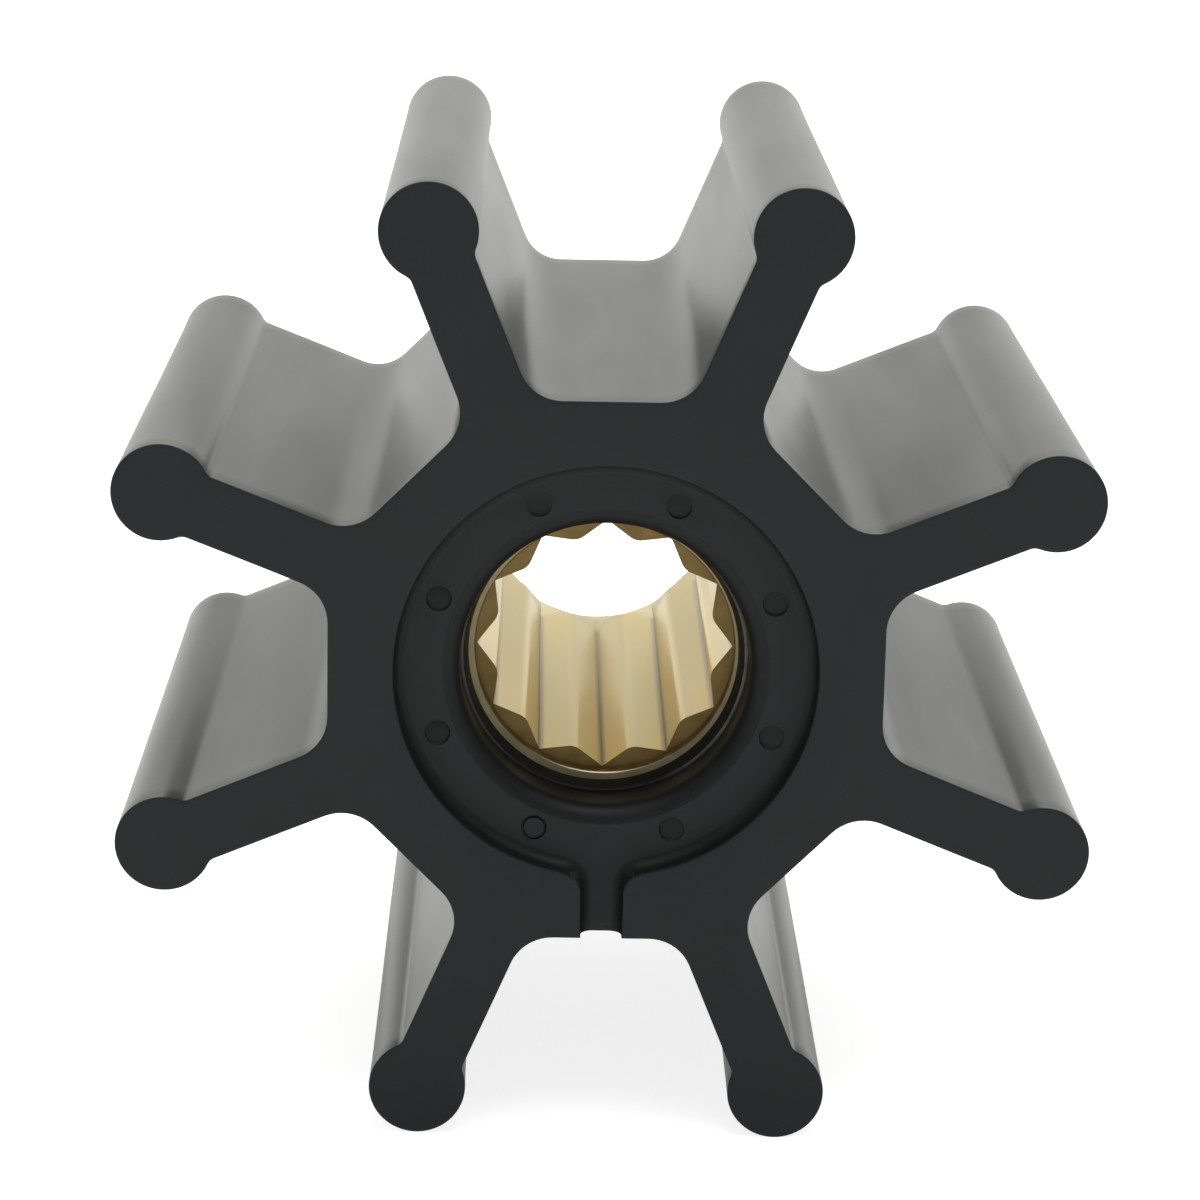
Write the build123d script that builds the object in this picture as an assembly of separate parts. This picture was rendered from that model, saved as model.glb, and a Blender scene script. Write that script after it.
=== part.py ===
from build123d import *
import os
from math import cos, radians, sin, sqrt

# Flexible-vane pump impeller: a moulded rubber body bonded round a splined brass bush.
# Millimetres. The axis is +Y, the front end face looks along -Y, and +Z is up.
# The origin is on the axis, half way between the two end faces.

# Rubber body, outside.
TIP_DIAMETER = 65.0        # over the round tips of two opposite vanes
BODY_WIDTH = 50.0          # from end face to end face
VANE_COUNT = 8
VANE_THICKNESS = 4.12
BULB_DIAMETER = 6.07       # the round bead along each vane's tip
HUB_WIDTH = 34.2           # across the hub's flats, one in each hollow between vanes
ROOT_FILLET = 2.8          # where a vane grows out of the hub
NECK_FILLET = 1.2          # where a vane runs into its bead

# Rubber body, end faces.
RECESS_DIAMETER = 26.1     # round sinking in each end face
RECESS_DEPTH = 1.5
FLOOR_FILLET = 0.8         # between a sinking's wall and its floor
SLOT_WIDTH = 2.55          # runs from the front sinking out through the hub
SLOT_CORNER = 1.5          # rounds the two corners where the slot leaves the sinking
PIN_CIRCLE_DIAMETER = 22.4
PIN_MARK_DIAMETER = 1.6    # print of a mould pin in the front sinking's floor
PIN_MARK_DEPTH = 0.12

# Rubber body, the hole at each end that leads to the bush.
HOLE_DIAMETER = 18.0
HOLE_MOUTH_ROUND = 1.2
LIP_LENGTH = 1.2           # the narrower last stretch, down to the brass
LIP_STEP = 0.25            # how far the lip stands in from the hole's wall
LIP_TAPER = 0.2            # and how much further in it is where it meets the brass

# Brass bush.
BUSH_DIAMETER = 22.0
FRONT_INSET = 6.2          # from the front end face to the bush's front end
REAR_INSET = 4.8
GRIP_GROOVE_COUNT = 5      # rings that key the bush into the rubber
GRIP_GROOVE_WIDTH = 2.0
GRIP_GROOVE_DEPTH = 0.8
GRIP_GROOVE_PITCH = 6.0

# Spline through the bush: sharp grooves for the shaft's teeth, rounded crowns between.
SPLINE_COUNT = 12
SPLINE_GROOVE_DIAMETER = 16.1
SPLINE_CROWN_DIAMETER = 13.86   # before the crowns are rounded
SPLINE_CROWN_ROUND = 1.1
FRONT_COUNTERBORE_DIAMETER = 16.3
FRONT_COUNTERBORE_DEPTH = 1.0
REAR_TAPER_DIAMETER = 16.8      # at the bush's rear end; the taper runs out on the crowns
REAR_TAPER_LENGTH = 5.6

# Worked out from the sizes above.
FRONT_Y = -BODY_WIDTH / 2
REAR_Y = BODY_WIDTH / 2
VANE_STEP = 360 / VANE_COUNT
FIRST_VANE_ANGLE = VANE_STEP / 2          # so that the body stands on two vanes
BULB_CENTRE_RADIUS = (TIP_DIAMETER - BULB_DIAMETER) / 2
BUSH_FRONT_Y = FRONT_Y + FRONT_INSET
BUSH_REAR_Y = REAR_Y - REAR_INSET
SLOT_ANGLE = -90.0                        # the slot opens downwards, between the two lowest vanes
CUT_OVERRUN = 1.0                         # how far a cutting tool stands out of the part
SAME_PLACE = 0.01                         # a corner this near a radius counts as on it


def extruded(sketch, start_y, end_y):
    """A sketch drawn as seen from the front, pulled along the axis from start_y to end_y."""
    front = Plane(origin=(0, start_y, 0), x_dir=(1, 0, 0), z_dir=(0, -1, 0))
    return extrude(front * sketch, start_y - end_y)


def turned(points):
    """A solid of revolution about the axis, from (radius, y) points."""
    outline = make_face(Polyline(*points, close=True))
    return revolve(outline, Axis.Y)


def ring_of(sketch, radius, count, start_angle):
    """Copies of a sketch on a circle, each turned with its place."""
    return [place * sketch for place in PolarLocations(radius, count, start_angle)]


def at_radius(sketch, radius):
    """The sketch's corners that lie at one distance from the axis."""
    return [v for v in sketch.vertices() if abs(sqrt(v.X**2 + v.Y**2) - radius) < SAME_PLACE]


def vane_outline():
    """Hub, straight vanes and round beads, with their fillets, as seen from the front."""
    half = VANE_THICKNESS / 2
    vane = Pos(BULB_CENTRE_RADIUS / 2, 0) * Rectangle(BULB_CENTRE_RADIUS, VANE_THICKNESS)
    bead = Pos(BULB_CENTRE_RADIUS, 0) * Circle(BULB_DIAMETER / 2)
    hub = RegularPolygon(HUB_WIDTH / 2, VANE_COUNT, major_radius=False, rotation=FIRST_VANE_ANGLE)
    outline = hub + ring_of(vane + bead, 0, VANE_COUNT, FIRST_VANE_ANGLE)
    turn = radians(VANE_STEP / 2)
    root_across = (HUB_WIDTH / 2 * sin(turn) - half) / cos(turn)      # from a flat's middle to a vane's root
    neck_distance = BULB_CENTRE_RADIUS - sqrt((BULB_DIAMETER / 2) ** 2 - half**2)
    outline = fillet(at_radius(outline, sqrt((HUB_WIDTH / 2) ** 2 + root_across**2)), ROOT_FILLET)
    return fillet(at_radius(outline, sqrt(neck_distance**2 + half**2)), NECK_FILLET)


def sinking(sketch):
    """The cutting tool for an end face's sinking, at the front, with its floor's edge filleted."""
    tool = extruded(sketch, FRONT_Y - CUT_OVERRUN, FRONT_Y + RECESS_DEPTH)
    floor = tool.faces().sort_by(Axis.Y)[-1]
    return fillet(floor.edges(), FLOOR_FILLET)


def slotted_sinking():
    """The front sinking, with the slot that leads out of it through the hub."""
    reach = HUB_WIDTH / 2 + CUT_OVERRUN
    slot = Rot(0, 0, SLOT_ANGLE) * Pos(reach / 2, 0) * Rectangle(reach, SLOT_WIDTH)
    sketch = Circle(RECESS_DIAMETER / 2) + slot
    return sinking(fillet(at_radius(sketch, RECESS_DIAMETER / 2), SLOT_CORNER))


def end_hole(inset):
    """The cutting tool for the hole from the front sinking's floor down to the bush."""
    floor_y = FRONT_Y + RECESS_DEPTH
    brass_y = FRONT_Y + inset
    lip_y = brass_y - LIP_LENGTH
    wall = HOLE_DIAMETER / 2
    lip = wall - LIP_STEP
    tool = turned([(0, floor_y), (wall, floor_y), (wall, lip_y),
                   (lip, lip_y), (lip - LIP_TAPER, brass_y), (0, brass_y)])
    corner = Vector(wall, floor_y)
    outer = corner + (HOLE_MOUTH_ROUND, 0)
    inner = corner + (0, HOLE_MOUTH_ROUND)
    flare = make_face(Line(corner, outer) + RadiusArc(outer, inner, HOLE_MOUTH_ROUND) + Line(inner, corner))
    return tool + revolve(flare, Axis.Y)


def bush_blank():
    """The bush before it is bored: a bar with rings turned into its outside."""
    blank = turned([(0, BUSH_FRONT_Y), (BUSH_DIAMETER / 2, BUSH_FRONT_Y),
                    (BUSH_DIAMETER / 2, BUSH_REAR_Y), (0, BUSH_REAR_Y)])
    middle = (BUSH_FRONT_Y + BUSH_REAR_Y) / 2
    bottom = BUSH_DIAMETER / 2 - GRIP_GROOVE_DEPTH
    outside = BUSH_DIAMETER / 2 + CUT_OVERRUN
    for place in range(GRIP_GROOVE_COUNT):
        start = middle + (place - (GRIP_GROOVE_COUNT - 1) / 2) * GRIP_GROOVE_PITCH - GRIP_GROOVE_WIDTH / 2
        end = start + GRIP_GROOVE_WIDTH
        blank -= turned([(bottom, start), (outside, start), (outside, end), (bottom, end)])
    return blank


def spline_outline():
    """The spline's outline: straight flanks from sharp grooves to rounded crowns."""
    step = 360 / SPLINE_COUNT
    corners = []
    for tooth in range(SPLINE_COUNT):
        corners.append(Vector(SPLINE_GROOVE_DIAMETER / 2, 0).rotate(Axis.Z, tooth * step))
        corners.append(Vector(SPLINE_CROWN_DIAMETER / 2, 0).rotate(Axis.Z, (tooth + 0.5) * step))
    outline = make_face(Polyline(*corners, close=True))
    return fillet(at_radius(outline, SPLINE_CROWN_DIAMETER / 2), SPLINE_CROWN_ROUND)


def rubber_body():
    """The moulded body: vanes and hub, sinkings, holes, pin marks and the bush's pocket."""
    body = extruded(vane_outline(), FRONT_Y, REAR_Y)
    body -= slotted_sinking()
    body -= mirror(sinking(Circle(RECESS_DIAMETER / 2)), Plane.XZ)
    body -= end_hole(FRONT_INSET)
    body -= mirror(end_hole(REAR_INSET), Plane.XZ)
    floor_y = FRONT_Y + RECESS_DEPTH
    for mark in ring_of(Circle(PIN_MARK_DIAMETER / 2), PIN_CIRCLE_DIAMETER / 2, VANE_COUNT, FIRST_VANE_ANGLE):
        body -= extruded(mark, floor_y, floor_y + PIN_MARK_DEPTH)
    return body - bush_blank()


def rear_taper():
    """The cutting tool for the lead-in at the rear: a cone that narrows from the end face to the crowns."""
    mouth = REAR_TAPER_DIAMETER / 2
    throat = SPLINE_CROWN_DIAMETER / 2
    start_y = BUSH_REAR_Y - REAR_TAPER_LENGTH
    return turned([(0, start_y), (throat, start_y), (mouth, BUSH_REAR_Y),
                   (mouth, BUSH_REAR_Y + CUT_OVERRUN), (0, BUSH_REAR_Y + CUT_OVERRUN)])


def brass_bush():
    """The bush: the blank, splined through, counterbored at the front and tapered at the rear."""
    bush = bush_blank() - extruded(spline_outline(), BUSH_FRONT_Y - CUT_OVERRUN, BUSH_REAR_Y + CUT_OVERRUN)
    bush -= extruded(Circle(FRONT_COUNTERBORE_DIAMETER / 2),
                     BUSH_FRONT_Y - CUT_OVERRUN, BUSH_FRONT_Y + FRONT_COUNTERBORE_DEPTH)
    return bush - rear_taper()


os.makedirs("parts", exist_ok=True)
export_step(rubber_body(), "parts/rubber_body.step")
export_step(brass_bush(), "parts/brass_bush.step")
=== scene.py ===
# %% [markdown]
# # A rubber pump impeller
# A flexible-vane impeller is one moulding of black rubber round a splined brass bush.
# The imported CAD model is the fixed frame: it gives every piece its place and its real size.
# This lesson dresses that frame. It rebuilds the rubber as a finer mesh with soft edges,
# gives the brass a broached bore and dull ends, and stands both on a pale floor in soft light.

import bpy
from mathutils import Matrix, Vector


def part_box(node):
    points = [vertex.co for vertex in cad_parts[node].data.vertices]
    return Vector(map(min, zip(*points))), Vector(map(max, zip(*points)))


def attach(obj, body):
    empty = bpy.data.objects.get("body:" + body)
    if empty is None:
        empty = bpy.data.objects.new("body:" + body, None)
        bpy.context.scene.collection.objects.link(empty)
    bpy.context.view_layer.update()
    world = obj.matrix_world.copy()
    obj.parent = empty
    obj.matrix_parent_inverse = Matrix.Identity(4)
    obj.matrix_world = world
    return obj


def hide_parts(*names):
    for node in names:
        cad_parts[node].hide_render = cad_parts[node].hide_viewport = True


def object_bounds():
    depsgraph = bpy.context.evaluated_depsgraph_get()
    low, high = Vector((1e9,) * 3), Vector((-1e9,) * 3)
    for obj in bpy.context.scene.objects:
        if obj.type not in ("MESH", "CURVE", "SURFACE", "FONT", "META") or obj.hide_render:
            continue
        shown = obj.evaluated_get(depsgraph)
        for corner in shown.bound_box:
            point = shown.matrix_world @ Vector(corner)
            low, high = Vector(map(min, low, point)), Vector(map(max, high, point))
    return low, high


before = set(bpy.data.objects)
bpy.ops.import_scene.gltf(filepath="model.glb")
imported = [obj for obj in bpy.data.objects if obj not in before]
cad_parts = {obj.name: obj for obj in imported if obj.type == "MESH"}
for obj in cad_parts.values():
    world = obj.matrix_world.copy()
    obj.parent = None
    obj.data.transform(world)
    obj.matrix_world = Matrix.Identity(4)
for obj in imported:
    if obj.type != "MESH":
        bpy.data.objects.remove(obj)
cad_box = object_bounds()
print("nodes:", sorted(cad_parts))

# %% [markdown]
# ## Units and directions
# Sizes in a workshop are millimetres, while the frame is in metres, so one value turns the first into
# the second. The impeller's axis is the Y axis, its slotted front face looks along -Y and +Z is up.
# Sections are therefore drawn in X and Z, and a depth is measured from an end face along Y. The places
# of the end faces could be typed in again, but reading them from the frame keeps both models together.

# %% Imports, units and the frame's own places
import math

import bmesh
import bpy
from mathutils import Matrix, Vector, noise

MM = 0.001
rubber_low, rubber_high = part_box("rubber_body")
brass_low, brass_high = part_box("brass_bush")
FRONT_Y, REAR_Y = rubber_low.y, rubber_high.y
BUSH_FRONT_Y, BUSH_REAR_Y = brass_low.y, brass_high.y
HALF_BOX = rubber_high.x
print("CAD box, mm:", [round((high - low) / MM, 2) for low, high in zip(*cad_box)])
print("rubber from", round(FRONT_Y / MM, 2), "to", round(REAR_Y / MM, 2), "mm")
print("brass from", round(BUSH_FRONT_Y / MM, 2), "to", round(BUSH_REAR_Y / MM, 2), "mm")

# %% [markdown]
# ## The vanes' outline
# Seen from the front, the rubber is an eight-sided hub with eight straight vanes, and each vane ends in
# a round bead that wipes the pump's wall. Between two vanes lies a flat hollow, one of the hub's sides.
# Such an outline could be traced by hand with a curve, but every stretch of it is either a straight
# line or an arc, so it is safer to work the arcs out. The same function also gives the outline set in
# by a small amount: arcs that bulge shrink and hollow ones grow. That is all that a softened edge
# needs, because the points of both outlines then pair up one to one.

# %% The outline's sizes
VANES = 8
VANE_STEP = 2 * math.pi / VANES
TIP_RADIUS = 32.5 * MM
BEAD_RADIUS = 3.035 * MM
BEAD_CENTRE = TIP_RADIUS - BEAD_RADIUS
VANE_HALF = 2.06 * MM
HUB_HALF = 17.1 * MM
ROOT_FILLET = 2.8 * MM
NECK_FILLET = 0.8 * MM
print("bead's centre from the axis, mm:", round(BEAD_CENTRE / MM, 3))

# %% One half of a vane
STRAIGHT_STEPS = 4
ROOT_STEPS = 9
NECK_STEPS = 6
BEAD_STEPS = 22


def arc(centre, radius, start, end, steps):
    """Points along an arc, without its first one, so that arcs can follow each other."""
    turns = [start + (end - start) * i / steps for i in range(1, steps + 1)]
    return [(centre[0] + radius * math.cos(t), centre[1] + radius * math.sin(t)) for t in turns]


def straight(start, end):
    """Points along a straight stretch, without its first one."""
    return [tuple(start.lerp(end, i / STRAIGHT_STEPS)) for i in range(1, STRAIGHT_STEPS + 1)]


def half_vane(inset):
    """From the flat hollow below a vane that points along +X, out to the vane's tip."""
    side_z = inset - VANE_HALF
    root_z = -(VANE_HALF + ROOT_FILLET)
    root_x = (HUB_HALF + ROOT_FILLET + root_z * math.sin(VANE_STEP / 2)) / math.cos(VANE_STEP / 2)
    neck_z = -(VANE_HALF + NECK_FILLET)
    neck_x = BEAD_CENTRE - math.sqrt((BEAD_RADIUS + NECK_FILLET) ** 2 - neck_z ** 2)
    neck_turn = math.atan2(neck_z, neck_x - BEAD_CENTRE)
    outwards = Vector((math.cos(VANE_STEP / 2), -math.sin(VANE_STEP / 2)))
    touch = Vector((root_x, root_z)) - outwards * (ROOT_FILLET + inset)
    hollow = straight(outwards * (HUB_HALF - inset), touch)
    root = arc((root_x, root_z), ROOT_FILLET + inset, math.pi - VANE_STEP / 2, math.pi / 2, ROOT_STEPS)
    side = straight(Vector((root_x, side_z)), Vector((neck_x, side_z)))
    neck = arc((neck_x, neck_z), NECK_FILLET + inset, math.pi / 2, neck_turn + math.pi, NECK_STEPS)
    bead = arc((BEAD_CENTRE, 0), BEAD_RADIUS - inset, neck_turn, 0, BEAD_STEPS)
    return hollow + root + side + neck + bead


print("points on half a vane:", len(half_vane(0)))

# %% [markdown]
# ## Vanes that lean a little
# Rubber comes out of its mould slightly askew, and no two vanes stand exactly on their mark. The vanes
# could be bent with a modifier once they are meshes, but it is simpler to lean the outline itself. A
# vane's lean is an angle that is nothing at the hub and full at the bead. Leaning could carry a bead
# out of the frame's box, so such a vane is also made a touch shorter.

# %% The whole outline, vane by vane
LEANS = [math.radians(angle) for angle in (-0.14, -0.01, -0.25, 0.48, 0.07, -0.26, -0.14, 0.27)]
PULL_MARGIN = 1.1


def turned(x, z, angle):
    """A point of a section, turned about the axis."""
    return x * math.cos(angle) - z * math.sin(angle), x * math.sin(angle) + z * math.cos(angle)


def pulled_in(angle):
    """By what share a vane at this angle is shortened to keep its bead inside the frame's box."""
    reach = BEAD_CENTRE * max(abs(math.cos(angle)), abs(math.sin(angle))) + BEAD_RADIUS
    return PULL_MARGIN * max(reach - HALF_BOX, 0) / BEAD_CENTRE


def outline(inset):
    """The rubber's outline, anticlockwise from below the first vane above +X."""
    lower = half_vane(inset)
    upper = [(x, -z) for x, z in reversed(lower[:-1])]
    points = []
    for vane, lean in enumerate(LEANS):
        angle = (vane + 0.5) * VANE_STEP
        pull = pulled_in(angle + lean)
        for x, z in lower + upper:
            share = (math.hypot(x, z) - HUB_HALF) / (BEAD_CENTRE - HUB_HALF)
            share = min(max(share, 0), 1)
            scale = 1 - pull * share
            points.append(turned(scale * x, scale * z, angle + lean * share))
    return points


widest = max(max(abs(x), abs(z)) for x, z in outline(0))
print("points on the outline:", len(outline(0)))
print("outline's reach, mm:", round(widest / MM, 3), "of", round(HALF_BOX / MM, 3))

# %% [markdown]
# ## A block of rubber from stacked outlines
# The moulding could be made with Blender's extrude and bevel, but then its long sides would be single
# faces. Stacking many copies of the outline along Y gives room for the slight waves that a moulded vane
# has, and a few copies that step inwards at each end make the edge round.

# %% Stretch a skin over loops of points
def skinned(name, loops, wrap=False):
    """A closed mesh over loops with equally many points; with wrap, the last loop joins the first."""
    mesh = bmesh.new()
    rings = [[mesh.verts.new(point) for point in loop] for loop in loops]
    count = len(rings[0])
    following = rings[1:] + rings[:1] if wrap else rings[1:]
    for near, far in zip(rings, following):
        for i in range(count):
            j = (i + 1) % count
            mesh.faces.new((near[i], near[j], far[j], far[i]))
    if not wrap:
        mesh.faces.new(rings[0])
        mesh.faces.new(rings[-1])
    bmesh.ops.recalc_face_normals(mesh, faces=mesh.faces)
    data = bpy.data.meshes.new(name)
    mesh.to_mesh(data)
    mesh.free()
    piece = bpy.data.objects.new(name, data)
    bpy.context.scene.collection.objects.link(piece)
    return piece


def at_depth(section, y):
    """A flat section of (x, z) points, put at one place along the axis."""
    return [(x, y, z) for x, z in section]


# %% Sides with slight waves
SIDE_STEPS = 26
WAVE_DEPTH = 0.05 * MM
WAVE_LENGTH = Vector((5.0, 16.0, 5.0)) * MM
WAVE_FADE = 3.0 * MM

sharp_outline = outline(0)
deep_outline = outline(WAVE_DEPTH)


def side_section(y):
    """The outline at one place along the axis, pressed in here and there by up to the waves' depth."""
    fade = min((y - FRONT_Y) / WAVE_FADE, (REAR_Y - y) / WAVE_FADE, 1)
    section = []
    for (x, z), (deep_x, deep_z) in zip(sharp_outline, deep_outline):
        place = Vector((x / WAVE_LENGTH.x, y / WAVE_LENGTH.y, z / WAVE_LENGTH.z))
        press = fade * (0.5 + 0.5 * noise.noise(place))
        section.append((x + (deep_x - x) * press, z + (deep_z - z) * press))
    return section


print("waves up to", round(WAVE_DEPTH / MM, 2), "mm deep")

# %% The blank, with soft edges round both end faces
EDGE_ROUND = 0.12 * MM
EDGE_STEPS = 4
END_FACE_INSET = 2.5 * EDGE_ROUND


def end_loops(face_y, inwards):
    """Loops over a rounded end edge, from the flat face to where the side begins."""
    loops = [at_depth(outline(END_FACE_INSET), face_y)]
    for step in range(EDGE_STEPS):
        turn = math.pi / 2 * step / EDGE_STEPS
        inset = EDGE_ROUND * (1 - math.sin(turn))
        loops.append(at_depth(outline(inset), face_y + inwards * EDGE_ROUND * (1 - math.cos(turn))))
    return loops


side_start, side_end = FRONT_Y + EDGE_ROUND, REAR_Y - EDGE_ROUND
side_ys = [side_start + (side_end - side_start) * i / SIDE_STEPS for i in range(SIDE_STEPS + 1)]
blank_loops = end_loops(FRONT_Y, 1)
blank_loops += [at_depth(side_section(y), y) for y in side_ys]
blank_loops += reversed(end_loops(REAR_Y, -1))
rubber = skinned("moulded_rubber", blank_loops)
print("faces in the blank:", len(rubber.data.polygons))

# %% [markdown]
# ## The sinkings in the end faces
# A round step in the mould leaves a sinking in each end face, and at the front a narrow slot leads out
# of it through the hub. The sinkings could be modelled face by face into the block, but a Boolean cuts
# them as a machinist would. The cutter is another stack of outlines, wider at the rim and narrower at
# the floor, so the rim and the floor's corner come out rounded.

# %% The sinkings' outlines
SINK_RADIUS = 13.05 * MM
SLOT_HALF = 1.275 * MM
SLOT_CORNER = 1.5 * MM
SLOT_REACH = HUB_HALF + 1.2 * MM
CORNER_STEPS = 8
HALF_ROUND_STEPS = 64
AROUND = 144


def slotted_outline(inset):
    """The front sinking and its slot, which opens downwards."""
    corner_x = SLOT_HALF + SLOT_CORNER
    corner_z = -math.sqrt((SINK_RADIUS + SLOT_CORNER) ** 2 - corner_x ** 2)
    meet = math.atan2(corner_z, corner_x)
    right = [(SLOT_HALF - inset, -SLOT_REACH)]
    right += arc((corner_x, corner_z), SLOT_CORNER + inset, math.pi, meet + math.pi, CORNER_STEPS)
    right += arc((0, 0), SINK_RADIUS - inset, meet, math.pi / 2, HALF_ROUND_STEPS)
    return right + [(-x, z) for x, z in reversed(right[:-1])]


def round_outline(inset):
    """The plain round sinking at the rear."""
    return arc((0, 0), SINK_RADIUS - inset, 0, 2 * math.pi, AROUND)


print("points round the slotted sinking:", len(slotted_outline(0)))

# %% The sinkings' cutters
SINK_DEPTH = 1.5 * MM
FLOOR_FILLET = 0.8 * MM
FLOOR_TURNS = (0, 15, 30, 45, 60, 75, 90)
RIM_ROUND = 0.14 * MM
RIM_TURNS = (70, 45, 20, 0)
CUTTER_FLARE = 3 * RIM_ROUND
CUTTER_TOP = 1.0 * MM
FLARE_TOP = 0.06 * MM


def sinking_cutter(name, section, face_y, inwards):
    """A stack of one section from outside the face down to the sinking's floor."""
    steps = [(-CUTTER_TOP, -CUTTER_FLARE), (-FLARE_TOP, -CUTTER_FLARE)]
    for turn in map(math.radians, RIM_TURNS):
        steps.append((RIM_ROUND * (1 - math.sin(turn)), -RIM_ROUND * (1 - math.cos(turn))))
    for turn in map(math.radians, FLOOR_TURNS):
        depth = SINK_DEPTH - FLOOR_FILLET * (1 - math.sin(turn))
        steps.append((depth, FLOOR_FILLET * (1 - math.cos(turn))))
    return skinned(name, [at_depth(section(inset), face_y + inwards * depth) for depth, inset in steps])


front_sinking = sinking_cutter("front_sinking", slotted_outline, FRONT_Y, 1)
rear_sinking = sinking_cutter("rear_sinking", round_outline, REAR_Y, -1)
print("faces in the front sinking's cutter:", len(front_sinking.data.polygons))

# %% [markdown]
# ## The hole and the bush's pocket
# From each sinking a round hole with a narrower lip leads down to the brass. Inside, the rubber grips
# the bush in rings that were turned into the brass. A cylinder for each stretch would do, but all of it
# is round, so one lathe profile describes it and one cutter takes it out. The core that moulds the
# front hole never sits dead true, so its rings shift a little to one side, and the rubber covers the
# brass's end more on one side than on the other.

# %% The hole's profile
HOLE_RADIUS = 9.0 * MM
MOUTH_ROUND = 1.2 * MM
MOUTH_TURNS = (85, 70, 55, 40, 27, 14, 0)
MOUTH_OVERRUN = 0.5 * MM
FLOOR_OVERRUN = 0.1 * MM
LIP_LENGTH = 1.2 * MM
LIP_STEP = 0.25 * MM
LIP_TAPER = 0.27 * MM
LIP_ROUND = 0.1 * MM
LIP_TURNS = (0, 30, 60, 90)


def hole_profile(face_y, brass_y, inwards):
    """(radius, y) from a sinking's floor down to the bush's end, where the lip closes in a little."""
    floor_y = face_y + inwards * SINK_DEPTH
    lip_y = brass_y - inwards * LIP_LENGTH
    profile = [(HOLE_RADIUS + MOUTH_ROUND + MOUTH_OVERRUN, floor_y - inwards * FLOOR_OVERRUN)]
    for turn in map(math.radians, MOUTH_TURNS):
        profile.append((HOLE_RADIUS + MOUTH_ROUND * (1 - math.cos(turn)),
                        floor_y + inwards * MOUTH_ROUND * (1 - math.sin(turn))))
    profile.append((HOLE_RADIUS, lip_y))
    for turn in map(math.radians, LIP_TURNS):
        profile.append((HOLE_RADIUS - LIP_STEP + LIP_ROUND * (1 - math.sin(turn)),
                        lip_y + inwards * LIP_ROUND * (1 - math.cos(turn))))
    profile.append((HOLE_RADIUS - LIP_STEP - LIP_TAPER, brass_y))
    return profile


print("points along the front hole:", len(hole_profile(FRONT_Y, BUSH_FRONT_Y, 1)))

# %% The bush's outside
BUSH_RADIUS = 11.0 * MM
GRIPS = 5
GRIP_DEPTH = 0.8 * MM
GRIP_WIDTH = 2.0 * MM
GRIP_PITCH = 6.0 * MM


def bush_profile():
    """(radius, y) over the bush's outside, from its front end to its rear end."""
    profile = [(BUSH_RADIUS, BUSH_FRONT_Y)]
    middle = (BUSH_FRONT_Y + BUSH_REAR_Y) / 2
    bottom = BUSH_RADIUS - GRIP_DEPTH
    for grip in range(GRIPS):
        start = middle + (grip - (GRIPS - 1) / 2) * GRIP_PITCH - GRIP_WIDTH / 2
        end = start + GRIP_WIDTH
        profile += [(BUSH_RADIUS, start), (bottom, start), (bottom, end), (BUSH_RADIUS, end)]
    return profile + [(BUSH_RADIUS, BUSH_REAR_Y)]


print("corners along the bush's outside:", len(bush_profile()))

# %% The core, which cuts the holes and the pocket at once
CORE_SHIFT = Vector((-0.09, -0.15)) * MM


def ring(radius, y, shift=(0, 0), count=AROUND):
    """A circle of points round the axis, or round a centre shifted off it."""
    circle = arc((0, 0), radius, 0, 2 * math.pi, count)
    return at_depth([(x + shift[0], z + shift[1]) for x, z in circle], y)


hole_length = BUSH_FRONT_Y - FRONT_Y - SINK_DEPTH
core_loops = []
for radius, y in hole_profile(FRONT_Y, BUSH_FRONT_Y, 1):
    down = max(y - FRONT_Y - SINK_DEPTH, 0) / hole_length
    core_loops.append(ring(radius, y, CORE_SHIFT * down))
core_loops += [ring(radius, y) for radius, y in bush_profile()]
core_loops += [ring(radius, y) for radius, y in reversed(hole_profile(REAR_Y, BUSH_REAR_Y, -1))]
core = skinned("core", core_loops)
print("rings in the core:", len(core_loops))

# %% [markdown]
# ## Prints of the mould's pins
# Eight pins in the mould leave faint round prints in the front sinking's floor. Most pins stood proud
# and left a sunk disc, one only left a thin ring, and none was perfectly square to the floor. A bump in
# the material could fake them, but their rims have to catch real light, so each print is a thin cutter
# with its own depth and tilt.

# %% A pin's profile
PIN_RADIUS = 0.8 * MM
PIN_OVERRUN = 0.3 * MM
PIN_CHAMFER = 0.06 * MM
PIN_SHOULDER = 0.7          # how far down a print's wall goes before the chamfer, as a share
DISH_RADIUS = 0.24 * MM
DISH_DEPTH = 0.8            # a disc's middle, as a share of its rim's depth
PIN_RING_INSIDE = 0.62 * MM
RING_CHAMFER = 0.05 * MM
RING_SHOULDER = 0.4


def pin_profile(kind, depth):
    """(radius, depth) round a pin's end: a flat disc, or only its rim."""
    profile = [(PIN_RADIUS, -PIN_OVERRUN), (PIN_RADIUS, PIN_SHOULDER * depth)]
    profile.append((PIN_RADIUS - PIN_CHAMFER, depth))
    if kind == "disc":
        return profile + [(DISH_RADIUS, DISH_DEPTH * depth)]
    profile += [(PIN_RING_INSIDE + RING_CHAMFER, depth), (PIN_RING_INSIDE, RING_SHOULDER * depth)]
    return profile + [(PIN_RING_INSIDE, -PIN_OVERRUN)]


# %% Pin cutters
PIN_CIRCLE = 11.2 * MM
PIN_TILT = math.radians(3)
PIN_AROUND = 32

# Anticlockwise from the first vane above +X: the kind, the depth in mm and where the pin leans, in degrees.
PIN_PRINTS = [("disc", 0.15, 40), ("disc", 0.13, 30), ("disc", 0.08, 0), ("disc", 0.20, 200),
              ("disc", 0.20, 160), ("ring", 0.16, 120), ("disc", 0.18, 250), ("disc", 0.16, 300)]

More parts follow.
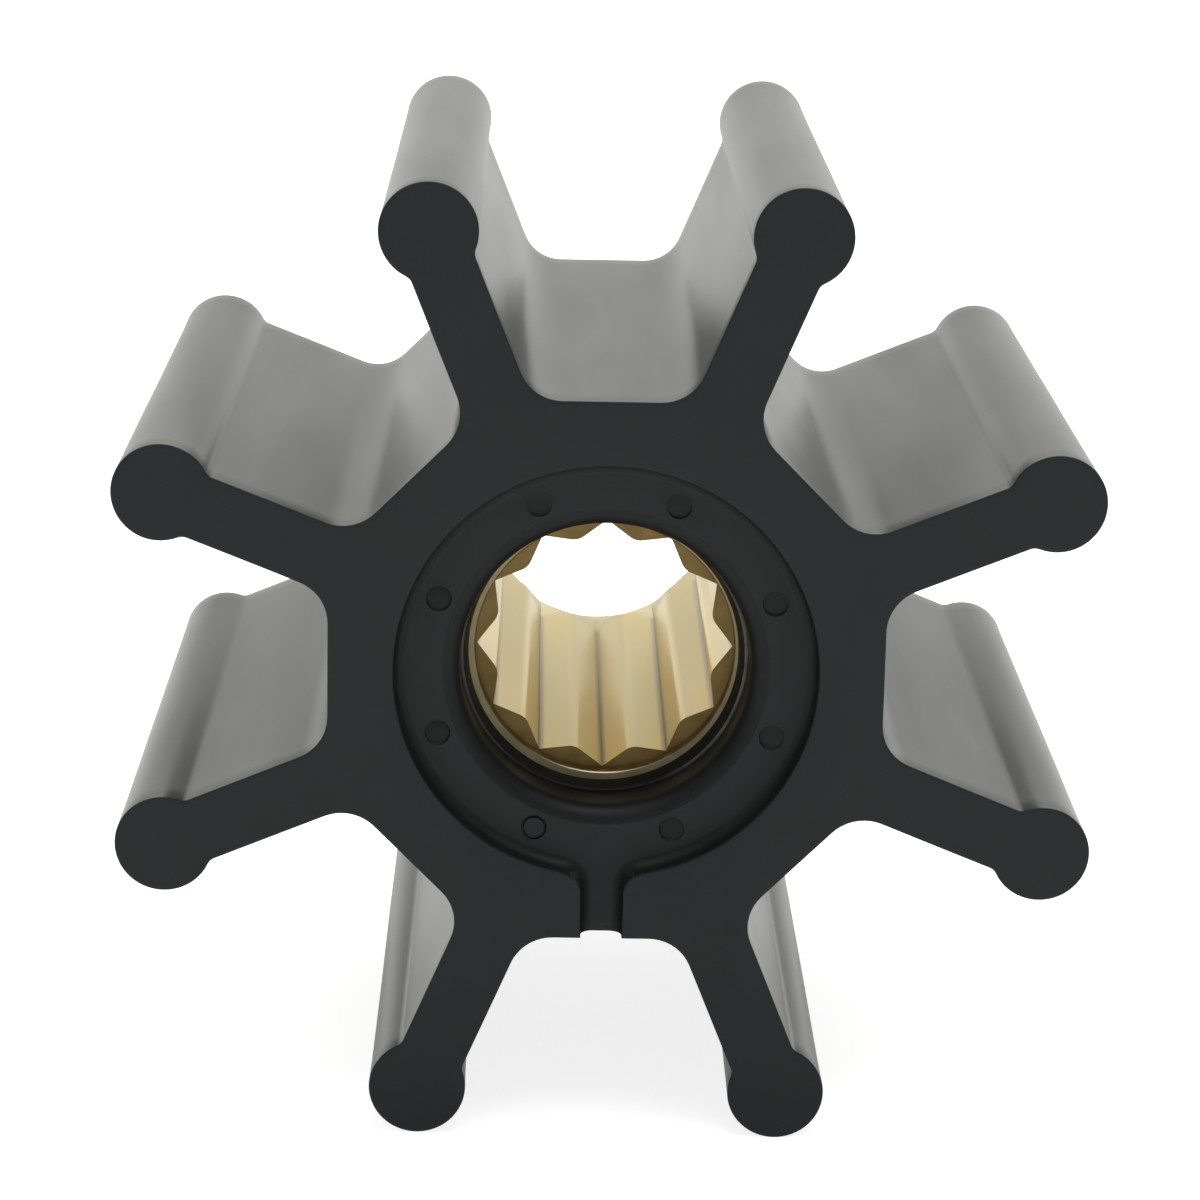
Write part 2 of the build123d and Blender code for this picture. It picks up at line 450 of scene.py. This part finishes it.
pin_cutters = []
for place, (kind, depth, lean_towards) in enumerate(PIN_PRINTS):
    loops = [ring(radius, y, count=PIN_AROUND) for radius, y in pin_profile(kind, depth * MM)]
    cutter = skinned("pin_print", loops, wrap=kind == "ring")
    x, z = turned(PIN_CIRCLE, 0, (place + 0.5) * VANE_STEP)
    lean_x, lean_z = turned(1, 0, math.radians(lean_towards))
    tilt = Matrix.Rotation(PIN_TILT, 4, Vector((lean_x, 0, lean_z)))
    cutter.data.transform(Matrix.Translation((x, FRONT_Y + SINK_DEPTH, z)) @ tilt)
    pin_cutters.append(cutter)
print("pin prints:", len(pin_cutters))

# %% [markdown]
# ## Take the cutters out of the block
# A Boolean can be solved fast or exactly. The fast solver may leave holes where a cutter's wall lies
# along a wall of the block, so the exact one is used here, one cutter after another.

# %% Cut the rubber
def cut(piece, *cutters):
    """Takes the cutters out of the piece, one after another, and deletes them."""
    for cutter in cutters:
        step = piece.modifiers.new("cut", "BOOLEAN")
        step.operation = "DIFFERENCE"
        step.solver = "EXACT"
        step.object = cutter
        bpy.context.view_layer.objects.active = piece
        with bpy.context.temp_override(object=piece, active_object=piece):
            bpy.ops.object.modifier_apply(modifier=step.name)
        bpy.data.objects.remove(cutter)


cut(rubber, front_sinking, rear_sinking, core, *pin_cutters)
print("faces after the cuts:", len(rubber.data.polygons))

# %% [markdown]
# ## The brass bush
# The bush is a turned bar with rings outside and a broached spline inside: twelve sharp grooves with
# rounded crowns between them. It could be cut with Booleans too, but every section of it, round or
# splined, can be drawn with the same number of points. So the whole bush is one skin of quads, wrapped
# from the outside, over the rear end, through the bore and back over the front end.

# %% The spline's outline
SPLINES = 12
GROOVE_RADIUS = 8.05 * MM
CROWN_RADIUS = 6.93 * MM
CROWN_ROUND = 1.1 * MM
HALF_STEP = math.pi / SPLINES
GROOVE_POINTS = 4
CROWN_POINTS = 6


def half_groove():
    """From the bottom of a groove on the X axis to the middle of the next crown."""
    groove = Vector((GROOVE_RADIUS, 0))
    crown = Vector((math.cos(HALF_STEP), math.sin(HALF_STEP))) * CROWN_RADIUS
    flank = (crown - groove).normalized()
    outwards = crown.normalized()
    half_angle = (-flank).angle(outwards)
    centre = outwards * (CROWN_RADIUS + CROWN_ROUND / math.sin(half_angle))
    touch = crown - flank * (CROWN_ROUND / math.tan(half_angle))
    points = [groove + (touch - groove) * i / GROOVE_POINTS for i in range(GROOVE_POINTS)]
    start = touch - centre
    sweep = start.angle_signed(-outwards)
    for i in range(CROWN_POINTS + 1):
        points.append(centre + Matrix.Rotation(-sweep * i / CROWN_POINTS, 2) @ start)
    return [(p.x, p.y) for p in points]


def spline_outline():
    """All twelve grooves, each as the half above its bottom and its mirror below."""
    upper = half_groove()
    lower = [(x, -z) for x, z in reversed(upper[1:])]
    points = []
    for groove in range(SPLINES):
        points += [turned(x, z, groove * 2 * HALF_STEP) for x, z in lower[1:] + upper]
    return points


spline = spline_outline()
spline_radii = [math.hypot(x, z) for x, z in spline]
bush_turns = [math.atan2(z, x) for x, z in spline]
print("points round the spline:", len(spline))
print("radius from", round(min(spline_radii) / MM, 3), "to", round(max(spline_radii) / MM, 3), "mm")

# %% The bush's rings
COUNTERBORE_RADIUS = 8.15 * MM
COUNTERBORE_DEPTH = 1.0 * MM
TAPER_RADIUS = 8.4 * MM
TAPER_LENGTH = 5.6 * MM
TAPER_SLOPE = (TAPER_RADIUS - CROWN_RADIUS) / TAPER_LENGTH

bore_start = BUSH_FRONT_Y + COUNTERBORE_DEPTH
taper_start = BUSH_REAR_Y - TAPER_LENGTH


def bush_ring(radius, y):
    """A circle whose points lie at the same angles as the spline's."""
    return [(radius * math.cos(t), y, radius * math.sin(t)) for t in bush_turns]


def cone_radius(y):
    """The rear taper's radius at a place along the axis."""
    return CROWN_RADIUS + TAPER_SLOPE * (y - taper_start)


def tapered_ring(y):
    """The spline where the taper has eaten into it: each point is pushed out to the cone."""
    radii = [max(radius, cone_radius(y)) for radius in spline_radii]
    return [(radius * math.cos(t), y, radius * math.sin(t)) for radius, t in zip(radii, bush_turns)]


# %% The bush's skin
EDGE_BREAK = 0.06 * MM
BORE_STEPS = 12
TAPER_STEPS = 28

taper_end = BUSH_REAR_Y - EDGE_BREAK
bush_loops = [bush_ring(radius, y) for radius, y in bush_profile()]
bush_loops.append(bush_ring(TAPER_RADIUS + EDGE_BREAK, BUSH_REAR_Y))
for i in range(TAPER_STEPS):
    bush_loops.append(tapered_ring(taper_end + (taper_start - taper_end) * i / TAPER_STEPS))
for i in range(BORE_STEPS + 1):
    bush_loops.append(at_depth(spline, taper_start + (bore_start - taper_start) * i / BORE_STEPS))
bush_loops.append(bush_ring(COUNTERBORE_RADIUS, bore_start))
bush_loops.append(bush_ring(COUNTERBORE_RADIUS, BUSH_FRONT_Y + EDGE_BREAK))
bush_loops.append(bush_ring(COUNTERBORE_RADIUS + EDGE_BREAK, BUSH_FRONT_Y))
bush = skinned("splined_bush", bush_loops, wrap=True)
print("faces in the bush:", len(bush.data.polygons))

# %% [markdown]
# ## Smooth and sharp
# A turned wall looks round only if its facets are shaded as one, while an edge between two walls has to
# stay crisp. Edges could be picked and marked by hand, but an angle does it in one go: every face is
# set smooth, and an edge that turns by more than the angle is marked sharp.

# %% Shade by angle
RUBBER_CREASE = math.radians(32)
BRASS_CREASE = math.radians(28)


def shade(piece, crease):
    """Smooth faces, with an edge kept sharp where it turns by more than the crease."""
    piece.data.shade_smooth()
    piece.data.set_sharp_from_angle(angle=crease)
    print(piece.name, "keeps edges sharp from", round(math.degrees(crease)), "degrees")


shade(rubber, RUBBER_CREASE)
shade(bush, BRASS_CREASE)

# %% [markdown]
# ## Helpers for node materials
# A finish on the real impeller is never one flat colour: rubber blooms, brass stains. An image could be
# painted for each, but noise made by nodes in the object's own coordinates needs no unwrapping and stays
# fine at any distance. These helpers each add one such step to a material.

# %% Start a finish
def new_finish(name):
    """A new material with its nodes, its links and its shader."""
    finish = bpy.data.materials.new(name)
    finish.use_nodes = True
    nodes = finish.node_tree.nodes
    return finish, nodes, finish.node_tree.links, nodes["Principled BSDF"]


# %% Noise over the object's own coordinates
def place_scaled(nodes, links, scale=(1, 1, 1)):
    """The object's own coordinates, stretched by a scale for each axis."""
    place = nodes.new("ShaderNodeTexCoord")
    mapping = nodes.new("ShaderNodeMapping")
    mapping.inputs["Scale"].default_value = scale
    links.new(place.outputs["Object"], mapping.inputs["Vector"])
    return mapping.outputs["Vector"]


def speckle(nodes, links, scale, detail, stretch=(1, 1, 1)):
    """Noise of a scale given in lumps for each metre."""
    texture = nodes.new("ShaderNodeTexNoise")
    texture.inputs["Scale"].default_value = scale
    texture.inputs["Detail"].default_value = detail
    links.new(place_scaled(nodes, links, stretch), texture.inputs["Vector"])
    return texture.outputs["Fac"]


# %% Turn a value into colours, levels or bumps
def ramp(nodes, links, value, stops):
    """Colours or greys spread over a value from 0 to 1."""
    node = nodes.new("ShaderNodeValToRGB")
    while len(node.color_ramp.elements) < len(stops):
        node.color_ramp.elements.new(0.5)
    for element, (place, colour) in zip(node.color_ramp.elements, stops):
        element.position = place
        element.color = (*colour, 1)
    links.new(value, node.inputs["Fac"])
    return node.outputs["Color"]


def spread(nodes, links, value, low, high):
    """A value from 0 to 1, mapped to the range from low to high."""
    node = nodes.new("ShaderNodeMapRange")
    node.inputs["To Min"].default_value = low
    node.inputs["To Max"].default_value = high
    links.new(value, node.inputs["Value"])
    return node.outputs["Result"]


def limits(nodes, links, value, start, end):
    """0 at the start, 1 at the end and a smooth change between."""
    node = nodes.new("ShaderNodeMapRange")
    node.interpolation_type = "SMOOTHSTEP"
    node.inputs["From Min"].default_value = start
    node.inputs["From Max"].default_value = end
    links.new(value, node.inputs["Value"])
    return node.outputs["Result"]


def bumped(nodes, links, shader, heights):
    """Chains bump nodes, one for each (height, distance in metres)."""
    last = None
    for height, distance in heights:
        bump = nodes.new("ShaderNodeBump")
        bump.inputs["Distance"].default_value = distance
        links.new(height, bump.inputs["Height"])
        if last:
            links.new(last, bump.inputs["Normal"])
        last = bump.outputs["Normal"]
    links.new(last, shader.inputs["Normal"])


# %% Combine values and colours
def multiplied(nodes, links, first, second):
    """The product of two values."""
    node = nodes.new("ShaderNodeMath")
    node.operation = "MULTIPLY"
    links.new(first, node.inputs[0])
    links.new(second, node.inputs[1])
    return node.outputs[0]


# A Mix node has sockets for numbers, vectors and colours, all named alike, so colours go by number.
MIX_FIRST_COLOUR, MIX_SECOND_COLOUR, MIXED_COLOUR = 6, 7, 2


def tinted(nodes, links, colour, tint, amount):
    """A colour taken over by a tint, by an amount from 0 to 1."""
    node = nodes.new("ShaderNodeMix")
    node.data_type = "RGBA"
    links.new(amount, node.inputs["Factor"])
    links.new(colour, node.inputs[MIX_FIRST_COLOUR])
    node.inputs[MIX_SECOND_COLOUR].default_value = (*tint, 1)
    return node.outputs[MIXED_COLOUR]


# %% [markdown]
# ## Finishes for the rubber
# One moulding, four finishes. The long sides keep the skin of the polished mould, so they are dark but
# shine where light grazes them, with soft streaks of bloom along the vanes. The walls inside the
# sinkings and holes come from duller tools. The end faces are ground flat: matt, almost black, with a
# very fine grain. Last, the front lip has a thin skin of flash whose colour carries a painted highlight:
# pale towards one side, where the lip's edge catches the light. All four could share one material with
# masks, but a finish for each is easier to read and to tune.

# %% Moulded sides
BLOOM_DARK = (0.013, 0.013, 0.012)
BLOOM_PALE = (0.044, 0.044, 0.042)


def moulded_rubber():
    """Dark and satin, with faint streaks that run along the vanes."""
    finish, nodes, links, shader = new_finish("rubber_moulded_side")
    shader.inputs["Specular IOR Level"].default_value = 0.42
    bloom = speckle(nodes, links, scale=240, detail=4, stretch=(1, 0.13, 1))
    cloud = speckle(nodes, links, scale=200, detail=1, stretch=(1, 0.2, 1))
    colour = ramp(nodes, links, bloom, [(0.36, BLOOM_DARK), (0.66, BLOOM_PALE)])
    links.new(colour, shader.inputs["Base Color"])
    links.new(spread(nodes, links, cloud, 0.28, 0.34), shader.inputs["Roughness"])
    bumped(nodes, links, shader, [(cloud, 0.12 * MM)])
    return finish


# %% Sinking walls and holes
CORE_DARK = (0.006, 0.0068, 0.0074)
CORE_PALE = (0.009, 0.0100, 0.0108)


def core_rubber():
    """Near black and rather dull, with a fine grain from the tool."""
    finish, nodes, links, shader = new_finish("rubber_moulded_core")
    shader.inputs["Specular IOR Level"].default_value = 0.22
    cloud = speckle(nodes, links, scale=300, detail=3)
    grain = speckle(nodes, links, scale=4200, detail=2)
    links.new(ramp(nodes, links, cloud, [(0.3, CORE_DARK), (0.7, CORE_PALE)]), shader.inputs["Base Color"])
    links.new(spread(nodes, links, cloud, 0.46, 0.58), shader.inputs["Roughness"])
    bumped(nodes, links, shader, [(cloud, 0.02 * MM), (grain, 0.004 * MM)])
    return finish


# %% Flash on the front lip, with a painted highlight that fades out away from one side
# Painted highlight: the lip's colour turns pale towards one side, where its edge catches the light.
FLASH_HIGHLIGHT_DARK = (0.04, 0.04, 0.04)
FLASH_HIGHLIGHT_PALE = (0.10, 0.10, 0.095)
LIP_COLOUR_AWAY_FROM_HIGHLIGHT = (0.0075, 0.0084, 0.0091)
FLASH_HIGHLIGHT_TOWARDS = math.radians(-21)
FLASH_HIGHLIGHT_STARTS = 5.7 * MM
FLASH_HIGHLIGHT_FULL = 8.3 * MM


def flash_rubber_painted_highlight():
    """Painted highlight: pale towards one side of the lip, and as dark as the hole's walls elsewhere."""
    finish, nodes, links, shader = new_finish("rubber_flash_painted_highlight")
    cloud = speckle(nodes, links, scale=900, detail=2)
    pale = ramp(nodes, links, cloud, [(0.35, FLASH_HIGHLIGHT_DARK), (0.65, FLASH_HIGHLIGHT_PALE)])
    towards = nodes.new("ShaderNodeVectorMath")
    towards.operation = "DOT_PRODUCT"
    towards.inputs[1].default_value = (math.cos(FLASH_HIGHLIGHT_TOWARDS), 0, math.sin(FLASH_HIGHLIGHT_TOWARDS))
    links.new(place_scaled(nodes, links), towards.inputs[0])
    away_from_highlight = limits(nodes, links, towards.outputs["Value"], FLASH_HIGHLIGHT_FULL, FLASH_HIGHLIGHT_STARTS)
    links.new(tinted(nodes, links, pale, LIP_COLOUR_AWAY_FROM_HIGHLIGHT, away_from_highlight), shader.inputs["Base Color"])
    links.new(spread(nodes, links, cloud, 0.3, 0.45), shader.inputs["Roughness"])
    bumped(nodes, links, shader, [(cloud, 0.01 * MM)])
    return finish


# %% Ground end faces
GROUND_DARK = (0.0078, 0.0089, 0.0106)
GROUND_PALE = (0.0104, 0.0117, 0.0136)


def ground_rubber():
    """Matt and almost black, with the fine grain of the grinding."""
    finish, nodes, links, shader = new_finish("rubber_ground_end")
    shader.inputs["Specular IOR Level"].default_value = 0.3
    cloud = speckle(nodes, links, scale=150, detail=4)
    grain = speckle(nodes, links, scale=4200, detail=3)
    colour = ramp(nodes, links, cloud, [(0.3, GROUND_DARK), (0.7, GROUND_PALE)])
    links.new(colour, shader.inputs["Base Color"])
    links.new(spread(nodes, links, cloud, 0.52, 0.64), shader.inputs["Roughness"])
    bumped(nodes, links, shader, [(grain, 0.008 * MM)])
    return finish


# %% [markdown]
# ## Which face of the rubber gets which finish
# Faces could be picked by hand and given a material, but the cuts above may number them differently
# each time a size changes. Where a face lies and which way it looks is enough to tell the finishes
# apart: a face beyond the sinkings is a moulded side or a ground end, and a face inside them is the
# sinking's floor, a wall or the lip.

# %% Sort the rubber's faces
FLOOR_FACING = 0.93
END_FACING = 0.5
SINK_FLOOR_Y = FRONT_Y + SINK_DEPTH
PRINT_SUNK = 0.02 * MM
LIP_Y = BUSH_FRONT_Y - LIP_LENGTH


def finish_faces(piece, finishes, choose):
    """Gives a piece its finishes, and each of its faces the one that choose() picks."""
    piece.data.materials.clear()
    for finish in finishes:
        piece.data.materials.append(finish)
    for face in piece.data.polygons:
        face.material_index = choose(face)
    indices = [face.material_index for face in piece.data.polygons]
    for index, finish in enumerate(finishes):
        print(finish.name, "faces:", indices.count(index))


def rubber_part(face):
    """0: moulded side. 1: end face or sinking's floor. 2: wall, hole or pin print. 3: front lip."""
    x, y, z = face.center
    facing = abs(face.normal.y)
    sunk = SINK_FLOOR_Y + PRINT_SUNK < y < 0
    in_slot = abs(x) < SLOT_HALF + RIM_ROUND and z < 0 and y < SINK_FLOOR_Y + PRINT_SUNK
    if math.hypot(x, z) > SINK_RADIUS + RIM_ROUND and not in_slot:
        return int(facing > END_FACING)
    if abs(y - LIP_Y) < LIP_ROUND / 2 and facing > FLOOR_FACING:
        return 3
    return 1 if facing > FLOOR_FACING and not sunk else 2


finish_faces(rubber, [moulded_rubber(), ground_rubber(), core_rubber(), flash_rubber_painted_highlight()], rubber_part)

# %% [markdown]
# ## Finishes for the brass
# The broach leaves fine lines along the bore, and brass that has been cut stays bright there. The
# turned taper at the rear is plainer, the splines' front faces have turned amber, and the ring of brass
# round them is a dull olive. One brass with a painted map could hold all four, but they differ only in
# colour, gloss and grain, so one function makes them from those values.

# %% Brass, cut and dulled
def brass(name, colours, roughness, metal, scale=700, stretch=(1, 1, 1)):
    """Brass whose colour and gloss both vary with one noise."""
    finish, nodes, links, shader = new_finish(name)
    shader.inputs["Metallic"].default_value = metal
    cloud = speckle(nodes, links, scale, detail=3, stretch=stretch)
    links.new(ramp(nodes, links, cloud, list(zip((0.35, 0.65), colours))), shader.inputs["Base Color"])
    links.new(spread(nodes, links, cloud, *roughness), shader.inputs["Roughness"])
    lines = speckle(nodes, links, scale=1500, detail=2, stretch=stretch)
    bumped(nodes, links, shader, [(lines, 0.006 * MM)])
    print(name, "is ready")
    return finish


bright = brass("brass_broached_bore", ((0.82, 0.63, 0.28), (0.82, 0.73, 0.45)), (0.29, 0.38),
               metal=1, scale=420, stretch=(1, 0.08, 1))
amber = brass("brass_amber_face", ((0.19, 0.125, 0.035), (0.26, 0.175, 0.060)), (0.5, 0.6), metal=0.6)
olive = brass("brass_olive_end", ((0.27, 0.22, 0.12), (0.35, 0.29, 0.17)), (0.45, 0.55), metal=0.8)
turned_taper = brass("brass_turned_taper", ((0.53, 0.45, 0.25), (0.57, 0.50, 0.32)), (0.40, 0.48),
                     metal=0.9)

# %% [markdown]
# ## Painted shade in the bore
# The sharp bottoms of the grooves get painted shade, a greyer colour where little light reaches, and the
# bore gets painted shade towards the rear, where more light comes in from behind. Ambient occlusion could
# find the grooves, but it costs time and darkens other corners as well. The distance from the axis tells
# a groove's bottom exactly, and the place along Y tells the rear.

# %% Painted shade in the grooves' bottoms and towards the rear of the bore
# Painted shade: the sharp bottoms of the grooves are greyed where little light reaches.
GROOVE_SHADE_STARTS = 7.8 * MM
GROOVE_SHADE_FADES = 1.5 * MM
GROOVE_SHADE_COLOUR = (0.36, 0.31, 0.23)
# Painted shade towards the rear: the bore is darkened where more light comes in from behind.
REAR_SHADE_COLOUR = (0.54, 0.43, 0.19)

groove_end = taper_start + (GROOVE_RADIUS - CROWN_RADIUS) / TAPER_SLOPE


def paint_bore_shade(finish):
    """Paints shade on the brass: darker towards the rear, and greyer deep in a groove, short of the rear
    taper.
    """
    nodes, links = finish.node_tree.nodes, finish.node_tree.links
    shader = nodes["Principled BSDF"]
    split = nodes.new("ShaderNodeSeparateXYZ")
    links.new(place_scaled(nodes, links), split.inputs[0])
    along = split.outputs["Y"]
    radius = nodes.new("ShaderNodeVectorMath")
    radius.operation = "LENGTH"
    links.new(place_scaled(nodes, links, (1, 0, 1)), radius.inputs[0])
    deep = limits(nodes, links, radius.outputs["Value"], GROOVE_SHADE_STARTS, GROOVE_RADIUS)
    ahead = limits(nodes, links, along, groove_end, groove_end - GROOVE_SHADE_FADES)
    rear_shade = limits(nodes, links, along, BUSH_FRONT_Y, taper_start)
    clean = shader.inputs["Base Color"].links[0].from_socket
    rear_shaded = tinted(nodes, links, clean, REAR_SHADE_COLOUR, rear_shade)
    groove_shaded = tinted(nodes, links, rear_shaded, GROOVE_SHADE_COLOUR, multiplied(nodes, links, deep, ahead))
    links.new(groove_shaded, shader.inputs["Base Color"])


paint_bore_shade(bright)
print("grooves run to", round(groove_end / MM, 2), "mm, where the taper has eaten them away")

# %% Sort the bush's faces
TAPER_SLACK = 0.1 * MM


def brass_part(face):
    """0: bore and broken edge. 1: splines' front faces. 2: ends and outside. 3: rear taper."""
    radius = math.hypot(face.center.x, face.center.z)
    y = face.center.y
    outside = radius > COUNTERBORE_RADIUS + EDGE_BREAK and y < taper_start
    if outside or radius > TAPER_RADIUS:
        return 2
    if y > taper_start and radius > cone_radius(y) - TAPER_SLACK:
        return 3
    return int(BUSH_FRONT_Y + EDGE_BREAK < y < bore_start + EDGE_BREAK / 4)


finish_faces(bush, [bright, amber, olive, turned_taper], brass_part)

# %% [markdown]
# ## Into the frame's place
# Each mesh stands for one node of the CAD model. They could be joined into one object, but the frame
# wants rubber and brass apart: each piece hides the node that it replaces and hangs from the frame's
# root body.

# %% Put both pieces in the frame's place
for piece, node, slot in ((rubber, "rubber_body", "black_rubber"), (bush, "brass_bush", "brass")):
    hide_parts(node)
    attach(piece, "root")
    print(piece.name, "stands for", node)

# %% [markdown]
# ## Floor, surroundings and light
# A small part is often shown on a pale sweep in a light tent. The tent could be modelled with walls and
# lamps, but a plain floor and graded surroundings light the part as evenly and render faster. Both are
# white to the camera, and the floor keeps a faint shadow. The side that the camera stands on is darker,
# as a studio is, so the end faces stay black, and one softbox overhead lights the front edges.

# %% The floor
FLOOR_SIZE = 12.0
FLOOR_GREY = 0.5
FLOOR_GLOW = 0.5            # as the part sees it
FLOOR_GLOW_SEEN = 0.84      # as the camera sees it


def pale_floor():
    """A square of plain floor at the foot of the frame's box."""
    data = bpy.data.meshes.new("floor")
    half = FLOOR_SIZE / 2
    corners = [(-half, -half, 0), (half, -half, 0), (half, half, 0), (-half, half, 0)]
    data.from_pydata(corners, [], [(0, 1, 2, 3)])
    floor = bpy.data.objects.new("floor", data)
    floor.location.z = cad_box[0][2]
    bpy.context.scene.collection.objects.link(floor)
    finish, nodes, links, shader = new_finish("pale_floor")
    shader.inputs["Base Color"].default_value = (FLOOR_GREY, FLOOR_GREY, FLOOR_GREY, 1)
    shader.inputs["Roughness"].default_value = 0.9
    shader.inputs["Specular IOR Level"].default_value = 0.0
    shader.inputs["Emission Color"].default_value = (1, 1, 1, 1)
    path = nodes.new("ShaderNodeLightPath")
    glow = spread(nodes, links, path.outputs["Is Camera Ray"], FLOOR_GLOW, FLOOR_GLOW_SEEN)
    links.new(glow, shader.inputs["Emission Strength"])
    data.materials.append(finish)
    print("floor at, mm:", round(floor.location.z / MM, 2))


pale_floor()

# %% The surroundings
FRONT_LEVEL = 0.14
HORIZON_LEVEL = 1.2
MIDDLE_LEVEL = 0.72
OVERHEAD_LEVEL = 3.7
FRONT_ENDS, REAR_STARTS = -0.2, 0.3
LIGHT_TINT = (1, 1, 0.96, 1)


def light_level(nodes, links):
    """How bright the studio is in each direction: by height, and less on the camera's side."""
    direction = nodes.new("ShaderNodeTexCoord")
    split = nodes.new("ShaderNodeSeparateXYZ")
    links.new(direction.outputs["Generated"], split.inputs[0])
    side = limits(nodes, links, split.outputs["Y"], FRONT_ENDS, REAR_STARTS)
    side.node.inputs["To Min"].default_value = FRONT_LEVEL
    stops = ((0.05, HORIZON_LEVEL), (0.3, MIDDLE_LEVEL), (0.8, OVERHEAD_LEVEL))
    greys = [(place, 3 * (level / OVERHEAD_LEVEL,)) for place, level in stops]
    height = ramp(nodes, links, split.outputs["Z"], greys)
    height.node.color_ramp.interpolation = "EASE"
    return spread(nodes, links, multiplied(nodes, links, height, side), 0, OVERHEAD_LEVEL)


def surroundings():
    """A plain studio: an even wall behind, a wide light overhead and a darker side at the front."""
    world = bpy.data.worlds.new("studio")
    bpy.context.scene.world = world
    world.use_nodes = True
    nodes, links = world.node_tree.nodes, world.node_tree.links
    lit = nodes["Background"]
    lit.inputs["Color"].default_value = LIGHT_TINT
    links.new(light_level(nodes, links), lit.inputs["Strength"])
    white = nodes.new("ShaderNodeBackground")
    white.inputs["Color"].default_value = (1, 1, 1, 1)
    path = nodes.new("ShaderNodeLightPath")
    mix = nodes.new("ShaderNodeMixShader")
    links.new(path.outputs["Is Camera Ray"], mix.inputs["Fac"])
    links.new(lit.outputs[0], mix.inputs[1])
    links.new(white.outputs[0], mix.inputs[2])
    links.new(mix.outputs[0], nodes["World Output"].inputs["Surface"])
    print("studio's nodes:", len(nodes))


surroundings()

# %% The softbox
SOFTBOX_PLACE = Vector((0.05, -0.2, 0.6))
SOFTBOX_SIDE = 0.3
SOFTBOX_POWER = 1.5

softbox_data = bpy.data.lights.new("overhead_softbox", "AREA")
softbox_data.size = SOFTBOX_SIDE
softbox_data.energy = SOFTBOX_POWER
softbox = bpy.data.objects.new("overhead_softbox", softbox_data)
softbox.location = SOFTBOX_PLACE
softbox.rotation_euler = (-SOFTBOX_PLACE).to_track_quat("-Z", "Y").to_euler()
bpy.context.scene.collection.objects.link(softbox)
print("softbox above the front edge, m:", [round(c, 2) for c in softbox.location])

# %% [markdown]
# ## The camera
# The camera looks a little down on the front face from close by, so the far end appears smaller and
# the tops of the vanes show. It could be placed by three coordinates, but a distance and two angles,
# then a small shift and roll, say more plainly how a camera stands on its tripod.

# %% Where the camera stands
DISTANCE = 240.05 * MM
RISE = math.radians(14.777)
SWING = math.radians(-0.905)
ROLL = math.radians(0.898)
SPIN = math.radians(0.266)
SHIFT_RIGHT = -0.39 * MM
SHIFT_UP = 4.605 * MM

back = Vector((math.sin(SWING) * math.cos(RISE), -math.cos(SWING) * math.cos(RISE), math.sin(RISE)))
right = (-back).cross(Vector((0, 0, 1))).normalized()
up = right.cross(-back)
rolled_right = right * math.cos(ROLL) + up * math.sin(ROLL)
rolled_up = up * math.cos(ROLL) - right * math.sin(ROLL)
stand = back * DISTANCE + rolled_right * SHIFT_RIGHT + rolled_up * SHIFT_UP
print("camera from the front face's middle, mm:", [round(c / MM, 1) for c in stand])

# %% The camera itself
LENS = 117.52
SENSOR_WIDTH = 36
NEAREST = 0.01

spin = Matrix.Rotation(-SPIN, 3, "Y")
facing = Matrix((spin @ rolled_right, spin @ rolled_up, spin @ back)).transposed().to_4x4()
camera_data = bpy.data.cameras.new("camera")
camera_data.lens = LENS
camera_data.sensor_width = SENSOR_WIDTH
camera_data.clip_start = NEAREST
camera = bpy.data.objects.new("camera", camera_data)
camera.matrix_world = Matrix.Translation(spin @ stand + Vector((0, FRONT_Y, 0))) @ facing
bpy.context.scene.collection.objects.link(camera)
bpy.context.scene.camera = camera
print("camera at, mm:", [round(c / MM, 1) for c in camera.location])

# %% [markdown]
# ## Output
# A filmic view would soften the whites and lift the blacks. The plain Standard view keeps the black
# rubber black and the floor white.

# %% Keep the Standard view
bpy.context.scene.view_settings.view_transform = "Standard"
